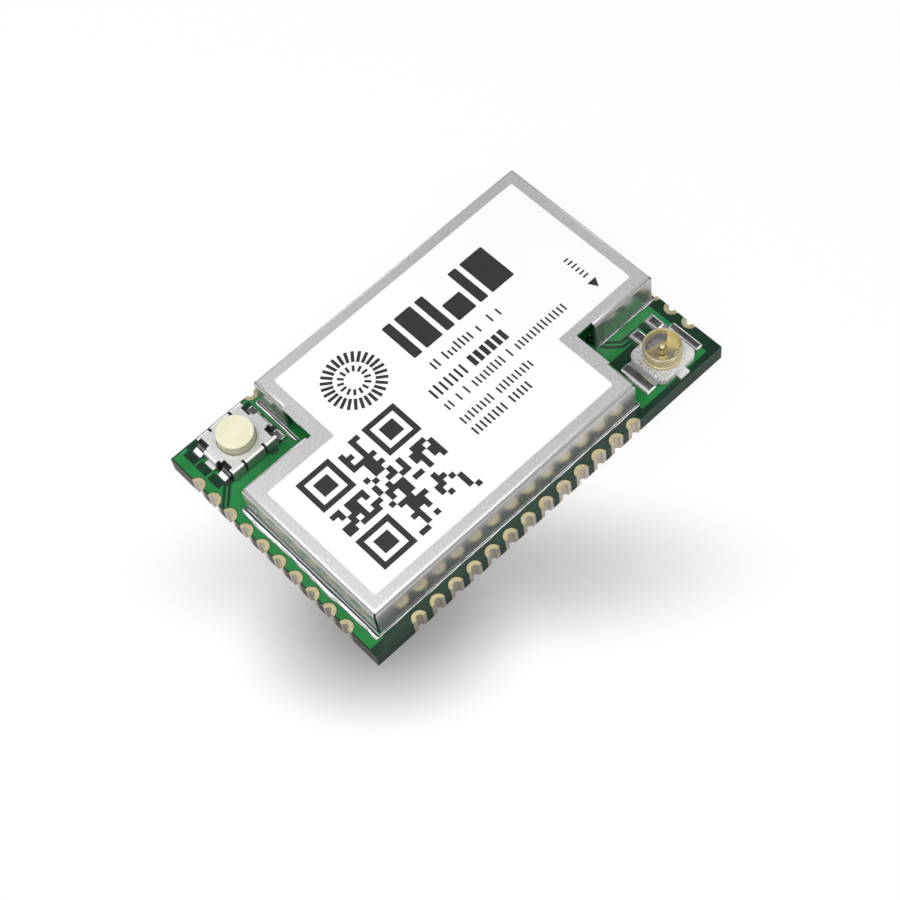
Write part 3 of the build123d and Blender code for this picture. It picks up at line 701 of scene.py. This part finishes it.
def solder_beads():
    """The bead of solder that runs along the foot of the can's walls, a little way out from
    them: broad on the left and thin elsewhere, uneven, and drawn out thin at its ends. For
    each wall: the bead's distance, width and height."""
    sx, sy = SWITCH_NOTCH
    cx, cy = SOCKET_NOTCH
    runs = [
        [(-6.7, sy), (CAN_LEFT, sy), (CAN_LEFT, CAN_FRONT), (cx, CAN_FRONT), (cx, -5.1)],
        [(7.25, cy), (CAN_RIGHT, cy), (CAN_RIGHT, CAN_BACK), (sx, CAN_BACK), (sx, 3.72)],
    ]
    walls = [((-1, 0), CAN_LEFT, (0.12, 0.2, 0.09)), ((0, -1), CAN_FRONT, (0.06, 0.06, 0.032)),
             ((0, -1), cy, (0.05, 0.055, 0.03)), ((-1, 0), sx, (0.1, 0.11, 0.055))]
    others = (0.07, 0.07, 0.035)
    work = bmesh.new()
    for number, points in enumerate(runs):
        rng = random.Random(40 + number)
        length = sum((Vector(b) - Vector(a)).length for a, b in zip(points, points[1:]))
        slow, quick = wander(rng, 1.3, length), wander(rng, 0.35, length)
        rings = []
        for at, out, s in bead_stations(points):
            gap, width, height = others
            for (ox, oy), place, sizes in walls:
                share = max(0.0, out.x * ox + out.y * oy) ** 2
                if abs((at.x if ox else at.y) - place) < 0.01:
                    gap, width, height = [a + (b - a) * share
                                          for a, b in zip((gap, width, height), sizes)]
            wave = 1 + 0.2 * slow(s) + 0.12 * quick(s)
            end = min(1.0, min(s, length - s) / 0.3)
            width *= wave * (0.3 + 0.7 * end)
            height *= (1 + 0.2 * slow(s) + 0.25 * quick(s)) * (0.15 + 0.85 * end)
            gap += 0.02 * slow(s + 0.7) + 0.012 * quick(s + 0.2)
            # the strip between the wall and the bead lies so low that the solder's finish
            # paints it dark: a painted shadow at the wall's foot
            ring = [(*at, MASK_TOP + 0.02), (*(at + out * gap * 0.5), MASK_TOP + 0.006)]
            ring += [(*(at + out * (gap + u * width)), MASK_TOP + v * height) for u, v in BEAD]
            ring += [(*(at + out * (gap + width)), BEAD_FOOT), (*at, BEAD_FOOT)]
            rings.append(ring)
        skin(work, rings)
    return mesh_of("solder_bead", work, SOLDER_CREASE)


def solder_mound(work, x0, x1, y0, y1, top, reach, fall=(0.0, 0.0), crown=0.0):
    """Solder over one foot: a sloping or gently arched top, a rounded shoulder and a thin
    edge that ends on the board. The fall is how much lower its top lies at its low-X and
    high-X end, and the crown how far the middle stands above the rest."""
    x0r, x1r, y0r, y1r = reach
    across = min(x1 - x0, y1 - y0) / 2
    rings = []
    for share, inward, rise in MOUND:
        pull = inward * across
        outline = rounded(x0 - x0r * share + pull, x1 + x1r * share - pull,
                          y0 - y0r * share + pull, y1 + y1r * share - pull,
                          (0.04 + 0.05 * share) * (1 - inward))
        ring = []
        for x, y in outline:
            along = min(1.0, max(0.0, (x - x0) / (x1 - x0)))
            lower = fall[0] * (1 - along) + fall[1] * along
            arch = crown * (1 - (1 - inward) ** 2)
            ring.append((x, y, MASK_TOP + (top - lower) * rise + arch))
        rings.append(ring)
    skin(work, rings)


def switch_joints():
    """Solder round the switch's four feet, drawn up over the toe of each."""
    work = bmesh.new()
    for side in (-1, 1):
        for spread in (-0.95, 0.95):
            toe, heel = SWITCH[0] + side * 1.85, SWITCH[0] + side * 1.6
            x0, x1 = sorted((toe, heel))
            y = SWITCH[1] + spread - side * 0.1
            if side < 0:
                solder_mound(work, x0 + 0.03, x1, y - 0.27, y + 0.27, 0.235,
                             (0.06, 0.02, 0.03, 0.03), (0.07, 0.0))
            else:
                solder_mound(work, x0, x1, y - 0.3, y + 0.3, 0.18, (0.02, 0.06, 0.05, 0.05))
    return mesh_of("switch_joints", work, SOLDER_CREASE)


def socket_joints():
    """Solder over the socket's four tabs: flat and dark on top, with a bright left slope."""
    x, y = SOCKET
    tabs = [
        (x - 1.87, x - 1.44, y - 0.94, y + 0.94, (0.2, 0.03, 0.06, 0.04)),
        (x + 1.42, x + 1.76, y - 0.94, y + 0.94, (0.04, 0.09, 0.06, 0.04)),
        (x - 0.14, x + 0.28, y + 1.27, y + 1.96, (0.2, 0.07, 0.13, 0.1)),
        (x + 1.0, x + 1.38, y + 1.27, y + 2.0, (0.19, 0.11, 0.15, 0.1)),
    ]
    work = bmesh.new()
    for x0, x1, y0, y1, reach in tabs:
        solder_mound(work, x0, x1, y0, y1, 0.205, reach, crown=0.004)
    return mesh_of("socket_joints", work, SOLDER_CREASE)


# Small fillings

def switch_fillings():
    """The moulding that shows black in the cover's slots and behind its end openings."""
    bricks = [(0.64 * side - 0.068, 0.64 * side + 0.068, 1.29, 1.425, 0.69)
              for side in (-1, 1)]
    bricks += [(-1.41, -1.27, -1.29, -0.37, 0.5), (-1.41, -1.27, 0.57, 1.29, 0.5),
               (-1.57, -1.27, -0.34, 0.54, 0.65)]
    work = bmesh.new()
    for turn in (1, -1):
        for x0, x1, y0, y1, top in bricks:
            xs, ys = sorted((turn * x0, turn * x1)), sorted((turn * y0, turn * y1))
            outline = rounded(SWITCH[0] + xs[0], SWITCH[0] + xs[1],
                              SWITCH[1] + ys[0], SWITCH[1] + ys[1], 0.01, 2)
            skin(work, [[(*p, MASK_TOP + z) for p in outline] for z in (0.09, top)])
    return mesh_of("switch_fillings", work)


def pin_tip():
    """The round tip of the socket's middle pin."""
    work = bmesh.new()
    bmesh.ops.create_uvsphere(work, u_segments=40, v_segments=24, radius=0.21,
                              matrix=Matrix.Translation((*SOCKET, MASK_TOP + 0.99)))
    return mesh_of("pin_tip", work, SOLDER_CREASE)


# The print on the label. It is plain shapes only: blocks, bars and ticks.

def growing_tree(name, sizes):
    """An empty geometry tree with named inputs, and the outputs of its input node."""
    tree = bpy.data.node_groups.new(name, "GeometryNodeTree")
    tree.interface.new_socket("Geometry", in_out="OUTPUT", socket_type="NodeSocketGeometry")
    for label, kind in sizes.items():
        tree.interface.new_socket(label, in_out="INPUT", socket_type=kind)
    return tree, add(tree, "NodeGroupInput").outputs


def real_faces(tree, laid, ink):
    """Ends a geometry tree in real faces of one material."""
    real = add(tree, "GeometryNodeRealizeInstances", {"Geometry": laid})
    inked = add(tree, "GeometryNodeSetMaterial", {"Geometry": real, "Material": ink})
    add(tree, "NodeGroupOutput", {0: inked})
    return tree


def grown(tree, values):
    """The plain mesh that a geometry tree makes, in metres."""
    holder = bpy.data.objects.new(tree.name, bpy.data.meshes.new(tree.name))
    bpy.context.scene.collection.objects.link(holder)
    modifier = holder.modifiers.new(tree.name, "NODES")
    modifier.node_group = tree
    for item in tree.interface.items_tree:
        if item.item_type == "SOCKET" and item.in_out == "INPUT":
            modifier[item.identifier] = values[item.name]
    graph = bpy.context.evaluated_depsgraph_get()
    mesh = bpy.data.meshes.new_from_object(holder.evaluated_get(graph))
    bpy.data.objects.remove(holder)
    return mesh


def block_field_tree(ink):
    """A square field of small blocks, some left out at random, with three corners kept free."""
    tree, given = growing_tree("block_field", {
        "Side": "NodeSocketFloat", "Blocks": "NodeSocketInt", "Free Corner": "NodeSocketFloat",
        "Filled": "NodeSocketFloat", "Seed": "NodeSocketInt"})
    pitch = add(tree, "Math", {0: given["Side"], 1: given["Blocks"]}, operation="DIVIDE")
    span = add(tree, "Math", {0: given["Side"], 1: pitch}, operation="SUBTRACT")
    field = add(tree, "GeometryNodeMeshGrid",
                {"Size X": span, "Size Y": span, "Vertices X": given["Blocks"],
                 "Vertices Y": given["Blocks"]})
    parts = add(tree, "SeparateXYZ", {0: add(tree, "GeometryNodeInputPosition")})
    across = add(tree, "Math", {0: parts.outputs["X"]}, operation="ABSOLUTE")
    along = add(tree, "Math", {0: parts.outputs["Y"]}, operation="ABSOLUTE")
    inner = add(tree, "Math", {0: across, 1: along}, operation="MINIMUM")
    rise = add(tree, "Math", {0: parts.outputs["Y"], 1: parts.outputs["X"]},
               operation="SUBTRACT")
    total = add(tree, "Math", {0: parts.outputs["Y"], 1: parts.outputs["X"]}, operation="ADD")
    total = add(tree, "Math", {0: total}, operation="ABSOLUTE")
    cornered, upper_left, diagonal = [
        add(tree, "FunctionNodeCompare", {"A": value, "B": given["Free Corner"]},
            data_type="FLOAT", operation="GREATER_THAN") for value in (inner, rise, total)]
    three = add(tree, "FunctionNodeBooleanMath", {0: upper_left, 1: diagonal}, operation="OR")
    blank = add(tree, "FunctionNodeBooleanMath", {0: cornered, 1: three}, operation="AND")
    chance = add(tree, "FunctionNodeRandomValue",
                 {"Probability": given["Filled"], "Seed": given["Seed"]},
                 data_type="BOOLEAN")
    chosen = add(tree, "FunctionNodeBooleanMath", {0: chance, 1: blank}, operation="NIMPLY")
    side = add(tree, "Math", {0: pitch, 1: 0.999}, operation="MULTIPLY")
    block = add(tree, "GeometryNodeMeshGrid", {"Size X": side, "Size Y": side,
                                               "Vertices X": 2, "Vertices Y": 2})
    laid = add(tree, "GeometryNodeInstanceOnPoints",
               {"Points": field, "Selection": chosen, "Instance": block})
    return real_faces(tree, laid, ink)


def bar_row_tree(ink):
    """A row of upright bars of uneven height, with gaps here and there."""
    tree, given = growing_tree("bar_row", {
        "Count": "NodeSocketInt", "Pitch": "NodeSocketFloat", "Width": "NodeSocketFloat",
        "Height": "NodeSocketFloat", "Lowest": "NodeSocketFloat", "Kept": "NodeSocketFloat",
        "Seed": "NodeSocketInt"})
    step = add(tree, "CombineXYZ", {0: given["Pitch"]})
    line = add(tree, "GeometryNodeMeshLine", {"Count": given["Count"], "Offset": step})
    chance = add(tree, "FunctionNodeRandomValue",
                 {"Probability": given["Kept"], "Seed": given["Seed"]},
                 data_type="BOOLEAN")
    tall = add(tree, "FunctionNodeRandomValue",
               {"Min": given["Lowest"], "Max": 1.0, "Seed": given["Seed"]},
               data_type="FLOAT")
    stretch = add(tree, "CombineXYZ", {0: 1.0, 1: tall, 2: 1.0})
    bar = add(tree, "GeometryNodeMeshGrid",
              {"Size X": given["Width"], "Size Y": given["Height"],
               "Vertices X": 2, "Vertices Y": 2})
    half = add(tree, "Math", {0: given["Height"], 1: 0.5}, operation="MULTIPLY")
    stood = add(tree, "GeometryNodeTransform",
                {"Geometry": bar, "Translation": add(tree, "CombineXYZ", {1: half})})
    laid = add(tree, "GeometryNodeInstanceOnPoints",
               {"Points": line, "Selection": chance, "Instance": stood, "Scale": stretch})
    return real_faces(tree, laid, ink)


def tick_ring_tree(ink):
    """Even ticks round a circle, like those on a dial."""
    tree, given = growing_tree("tick_ring", {
        "Ticks": "NodeSocketInt", "Radius": "NodeSocketFloat", "Length": "NodeSocketFloat",
        "Width": "NodeSocketFloat"})
    ring = add(tree, "GeometryNodeMeshCircle", {"Vertices": given["Ticks"],
                                                "Radius": given["Radius"]})
    tick = add(tree, "GeometryNodeMeshGrid",
               {"Size X": given["Length"], "Size Y": given["Width"],
                "Vertices X": 2, "Vertices Y": 2})
    outward = add(tree, "FunctionNodeAlignRotationToVector",
                  {"Vector": add(tree, "GeometryNodeInputPosition")}, axis="X",
                  pivot_axis="Z")
    laid = add(tree, "GeometryNodeInstanceOnPoints",
               {"Points": ring, "Instance": tick, "Rotation": outward})
    return real_faces(tree, laid, ink)


def label_print(ink):
    """All the print on the label, as one thin piece."""
    z = LABEL_TOP + PRINT_RISE
    whole = bmesh.new()

    def lay(mesh, x, y, turn=0.0):
        mesh.transform(Matrix.Scale(1 / MM, 4))
        mesh.transform(Matrix.Translation((x, y, z)) @ Matrix.Rotation(turn, 4, "Z"))
        whole.from_mesh(mesh)

    # A field of random blocks with three square corner marks
    blocks = block_field_tree(ink)
    lay(grown(blocks, {"Side": 6.25 * MM, "Blocks": 21, "Free Corner": 0.86 * MM,
                       "Filled": 0.56, "Seed": 9}), -5.585, -2.285)
    for x, y in ((-7.685, -0.165), (-3.495, -0.165), (-7.685, -4.395)):
        outer, inner, core = [[(x + dx * half, y + dy * half)
                               for dx, dy in ((1, 1), (-1, 1), (-1, -1), (1, -1))]
                              for half in (1.03, 0.735, 0.44)]
        skin(whole, [[(*p, z) for p in ring] for ring in (outer, inner)], capped=False)
        plate(whole, core, z)

    # A round mark of dashes
    ticks = tick_ring_tree(ink)
    lay(grown(ticks, {"Ticks": 28, "Radius": 1.36 * MM, "Length": 0.62 * MM,
                      "Width": 0.17 * MM}), -2.9, 3.17)
    lay(grown(ticks, {"Ticks": 14, "Radius": 0.68 * MM, "Length": 0.34 * MM,
                      "Width": 0.14 * MM}), -2.9, 3.17)

    # Solid bars where the photo has its largest print
    for x0, x1, y0, y1 in ((-0.03, 0.5, 1.93, 4.36), (0.78, 1.86, 1.93, 4.36),
                           (2.14, 2.67, 1.93, 4.36), (2.95, 4.13, 1.93, 3.2),
                           (4.41, 4.94, 1.93, 4.36), (5.22, 6.7, 1.93, 4.36)):
        plate(whole, rounded(x0, x1, y0, y1, 0.07, 3), z)

    # Rows of short ticks where it has lines of small print, and an arrow head
    bars = bar_row_tree(ink)
    rows = [
        (-0.03, 5.03, 0.71, 1.3, 0.27, 0.11, 0.55, 0.86, 3),
        (-0.86, 1.6, -0.54, 0.17, 0.33, 0.13, 0.8, 0.9, 5),
        (1.7, 4.36, -0.54, 0.17, 0.4, 0.27, 0.95, 1.0, 6),
        (-0.86, 7.26, -1.43, -0.9, 0.26, 0.1, 0.8, 0.88, 8),
        (-0.86, 4.0, -2.54, -2.03, 0.26, 0.1, 0.8, 0.85, 12),
        (-0.86, 3.07, -3.37, -2.86, 0.27, 0.11, 0.95, 0.95, 14),
    ]
    for x0, x1, y0, y1, pitch, width, lowest, kept, seed in rows:
        lay(grown(bars, {"Count": int((x1 - x0) / pitch), "Pitch": pitch * MM,
                         "Width": width * MM, "Height": (y1 - y0) * MM, "Lowest": lowest,
                         "Kept": kept, "Seed": seed}), x0 + width / 2, y0)
    lay(grown(bars, {"Count": 6, "Pitch": 0.27 * MM, "Width": 0.1 * MM, "Height": 0.42 * MM,
                     "Lowest": 0.6, "Kept": 1.0, "Seed": 2}), 8.87, 0.66, -math.pi / 2)
    plate(whole, [(8.74, -1.1), (9.02, -1.62), (9.3, -1.1)], z)

    grown_down = bmesh.ops.extrude_face_region(whole, geom=whole.faces[:])["geom"]
    bmesh.ops.translate(whole, vec=(0, 0, -PRINT_DEPTH),
                        verts=[part for part in grown_down
                               if isinstance(part, bmesh.types.BMVert)])
    return mesh_of("label_print", whole)


# The stage

def lay_floor():
    """A plain white floor, with a painted soft shadow by the board's near corner."""
    made, tree, place = material("pale_studio_floor")
    turned = add(tree, "VectorRotate",
                 {"Vector": flattened(tree, place), "Angle": math.pi / 4},
                 rotation_type="Z_AXIS")
    painted_shadows = []
    # two soft pools of painted shadow on the floor
    for depth, middle, reach in ((0.455, (0.2, -8.5, 0), (17.5, 5.5, 1)),
                                 (0.553, (-2.8, -12.25, 0), (7.9, 5.2, 1))):
        off = add(tree, "VectorMath", {0: turned, 1: middle}, operation="SUBTRACT")
        off = add(tree, "VectorMath", {0: off, 1: reach}, operation="DIVIDE")
        away = add(tree, "VectorMath", {0: off}, operation="LENGTH")
        painted_shadows.append(add(tree, "MapRange", {0: away, 1: 0.0, 2: 1.0, 3: depth, 4: 0.0},
                         interpolation_type="SMOOTHSTEP"))
    gathered = add(tree, "Math", {0: painted_shadows[0], 1: painted_shadows[1]}, operation="ADD")
    shade = add(tree, "ValToRGB", {0: gathered},
                stops=[(0.0, "#FEFEFE"), (0.25, "#D7D7D7"), (0.5, "#AFAFAF"),
                       (0.75, "#878787"), (1.0, "#5F5F5F")])
    cloth = add(tree, "BsdfPrincipled", {"Base Color": shade, "Roughness": 0.4})
    seen = add(tree, "LightPath")
    share = add(tree, "Math", {0: seen.outputs["Is Camera Ray"], 1: 0.85},
                operation="MULTIPLY")
    even = add(tree, "Emission", {"Color": shade, "Strength": 1.02})
    whole = add(tree, "MixShader", {0: share, 1: cloth, 2: even})
    add(tree, "OutputMaterial", {"Surface": whole})
    mesh = bpy.data.meshes.new("floor")
    size, z = 0.6, -0.02 * MM
    mesh.from_pydata([(-size, -size, z), (size, -size, z), (size, size, z), (-size, size, z)],
                     [], [(0, 1, 2, 3)])
    mesh.materials.append(made)
    floor = bpy.data.objects.new("floor", mesh)
    bpy.context.scene.collection.objects.link(floor)


def lamp(name, towards, distance, size, level):
    """A square soft box. Its level is the share of full white that it adds on a face that
    looks straight at it."""
    data = bpy.data.lights.new(name, "AREA")
    data.size = size
    data.energy = level * math.pi ** 2 * distance ** 2
    made = bpy.data.objects.new(name, data)
    towards = Vector(towards).normalized()
    made.matrix_world = (Matrix.Translation(towards * distance)
                         @ towards.to_track_quat("Z", "Y").to_matrix().to_4x4())
    bpy.context.scene.collection.objects.link(made)


def light_studio():
    """A pale room, duller towards its foot, with one dark card overhead that keeps the flat
    tops from glaring, two soft boxes close by, one above the front, and two further off
    that draw a bright line along the rims at the back and on the right."""
    world = bpy.data.worlds.new("studio")
    bpy.context.scene.world = world
    world.use_nodes = True
    tree = world.node_tree
    tree.nodes.clear()
    way = add(tree, "TexCoord")
    card = Vector((0.4, 0.5, 0.77)).normalized()
    off_card = add(tree, "VectorMath", {0: way.outputs["Generated"], 1: card},
                   operation="DOT_PRODUCT")
    overhead = add(tree, "MapRange", {0: off_card, 1: 0.9, 2: 0.985, 3: 0.66, 4: 0.06})
    parts = add(tree, "SeparateXYZ", {0: way.outputs["Generated"]})
    rising = add(tree, "MapRange", {0: parts.outputs["Z"], 1: 0.0, 2: 0.45, 3: 0.45, 4: 1.0})
    level = add(tree, "Math", {0: overhead, 1: rising}, operation="MULTIPLY")
    sky = add(tree, "Background", {"Color": "#FFFFFF", "Strength": level})
    add(tree, "OutputWorld", {"Surface": sky})
    lamp("left_soft_box", (-0.42, 0.42, 0.8), 0.07, 0.04, 0.14)
    lamp("overhead_soft_box", (-0.36, -0.3, 0.88), 0.064, 0.045, 0.26)
    lamp("right_soft_box", (0.78, 0.41, 0.46), 0.3, 0.08, 0.04)
    lamp("front_soft_box", (0.3, -0.26, 0.92), 0.3, 0.1, 0.12)
    lamp("back_soft_box", (0.28, 0.88, 0.38), 0.3, 0.08, 0.065)


def aim_camera():
    """A long lens, high above the front left corner of the board. Its place and its axes
    were fitted to the edge pads that the photo shows."""
    right = Vector((0.72394409, -0.68347776, -0.09361149))
    down = Vector((-0.63065062, -0.60068824, -0.49137912))
    ahead = Vector((0.27961538, 0.41476715, -0.86590037))
    data = bpy.data.cameras.new("camera")
    data.lens = 79.233
    data.sensor_width = 36
    data.clip_start = 0.002
    camera = bpy.data.objects.new("camera", data)
    turn = Matrix((right, -down, -ahead)).transposed().to_4x4()
    camera.matrix_world = Matrix.Translation((-0.02837208, -0.04161757, 0.08360248)) @ turn
    bpy.context.scene.collection.objects.link(camera)
    bpy.context.scene.camera = camera


def build():
    """Dresses every node and adds the pieces that the CAD leaves to the looks."""
    dress("solder_mask_top", top_mask())
    dress("solder_mask_bottom", under_mask())
    dress("pcb_laminate", board_edge())
    gold = pad_gold()
    for node in ("pads_front_row", "pads_left_row", "pads_back_row", "pads_right_row"):
        dressed(node, CREASE, gold)
    dressed("shield_can", FOLD_CREASE, nickel_silver(), "folded_can")
    dress("label", label_film())
    solder = bright_solder()
    keep("solder_bead", solder_beads(), solder, "module", ["shield_solder"])
    keep("switch_joints", switch_joints(), solder, "module", ["switch_solder"])
    keep("socket_joints", socket_joints(), solder, "module", ["coax_solder"])
    ink = label_ink()
    keep("label_print", label_print(ink), ink, "module")

    nylon = black_nylon()
    dress("switch_base", nylon)
    keep("switch_fillings", switch_fillings(), nylon, "module")
    dressed("switch_cover", FOLD_CREASE, stamped_cover(), "stamped_cover")
    dressed("switch_button", CREASE, button_cream(), "push_button")
    dome = dressed("switch_dome", CREASE, spring_steel(), "snap_dome")
    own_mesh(dome)
    dress("switch_contacts", plated_contact())
    dress("switch_terminals", switch_legs())

    dressed("coax_housing", CREASE, socket_moulding(), "socket_base")
    barrel_gold = gold_and_tin("gold_plated_barrel")
    dressed("coax_shell", CREASE, barrel_gold, "socket_barrel")
    pin_gold = gold_and_tin("gold_plated_pin")
    dressed("coax_pin", PIN_CREASE, pin_gold, "socket_pin")
    keep("pin_tip", pin_tip(), pin_gold, "module")

    chip = chip_moulding()
    for node in ("mcu_chip", "radio_chip", "flash_chip", "rf_switch_chip"):
        dress(node, chip)
    lid = crystal_lid()
    for node in ("mcu_crystal", "radio_oscillator"):
        dress(node, lid)
    dress("power_inductor", ferrite())
    dress("capacitors", small_parts("tan_capacitors", "capacitors", 0, "#A08058", "#B99468"))
    dress("resistors", small_parts("black_resistors", "resistors", 1, "#17171A", "#26262A"))
    dress("rf_inductors", small_parts("blue_grey_inductors", "rf_inductors", 0,
                                      "#8297A8", "#9DB0BF"))


build()
lay_floor()
light_studio()
aim_camera()
bpy.context.scene.view_settings.view_transform = "Standard"
